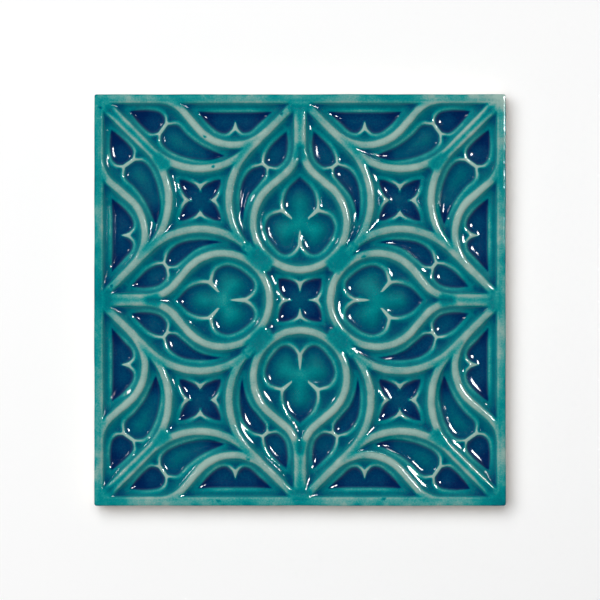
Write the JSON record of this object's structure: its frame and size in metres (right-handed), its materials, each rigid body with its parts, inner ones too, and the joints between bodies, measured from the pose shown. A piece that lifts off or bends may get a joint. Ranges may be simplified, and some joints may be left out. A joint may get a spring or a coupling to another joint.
{
  "type": "ceramic wall tile",
  "caption": "Square glazed ceramic tile with raised Gothic tracery of ogee petals, trefoils and quatrefoils, in a plain raised border.",
  "frame": {"origin": "centre of the flat back face", "axes": "+Z out of the glazed relief face, +X and +Y along two sides of the square"},
  "size_m": [0.152, 0.152, 0.012],
  "materials": {
    "glaze": "glossy translucent teal glaze, pale on the ribs and deep blue in the hollows"
  },
  "bodies": {
    "root": {"relief_tile": "glaze"}
  },
  "joints": []
}
